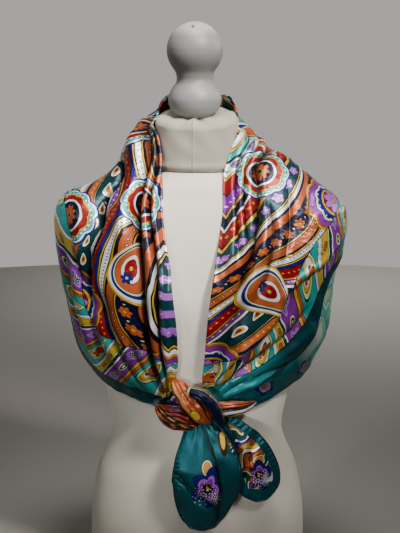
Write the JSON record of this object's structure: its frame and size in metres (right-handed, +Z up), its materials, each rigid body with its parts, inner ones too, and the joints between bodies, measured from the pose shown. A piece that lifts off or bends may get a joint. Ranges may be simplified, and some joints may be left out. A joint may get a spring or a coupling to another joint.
{
  "type": "silk square scarf on a limbless dress form",
  "caption": "Large printed satin square folded corner to corner and worn as a shawl round a limbless dress form, its ends knotted in front; the form has a neck block and turned finial.",
  "frame": {"origin": "centre of the dress form's flat bottom, on the form's axis", "axes": "+Z up along the form, the knot faces -Y, +X to the right as seen from the front"},
  "size_m": [0.4376, 0.299, 0.8629],
  "materials": {
    "silk": "printed silk satin, glossy",
    "silk_border": "printed silk satin, dark teal border",
    "jersey": "matt cotton jersey stretched over a padded shell",
    "lacquer": "white gloss paint on turned wood"
  },
  "bodies": {
    "root": {"back_drape": "silk", "left_front": "silk", "right_front": "silk", "under_layer": "silk", "knot_wrap": "silk", "knot_band": "silk", "knot_roll": "silk", "knot_loop": "silk", "tail_front": "silk_border", "tail_side": "silk_border", "form_torso": "jersey", "form_neck": "jersey", "form_finial": "lacquer"}
  },
  "joints": []
}
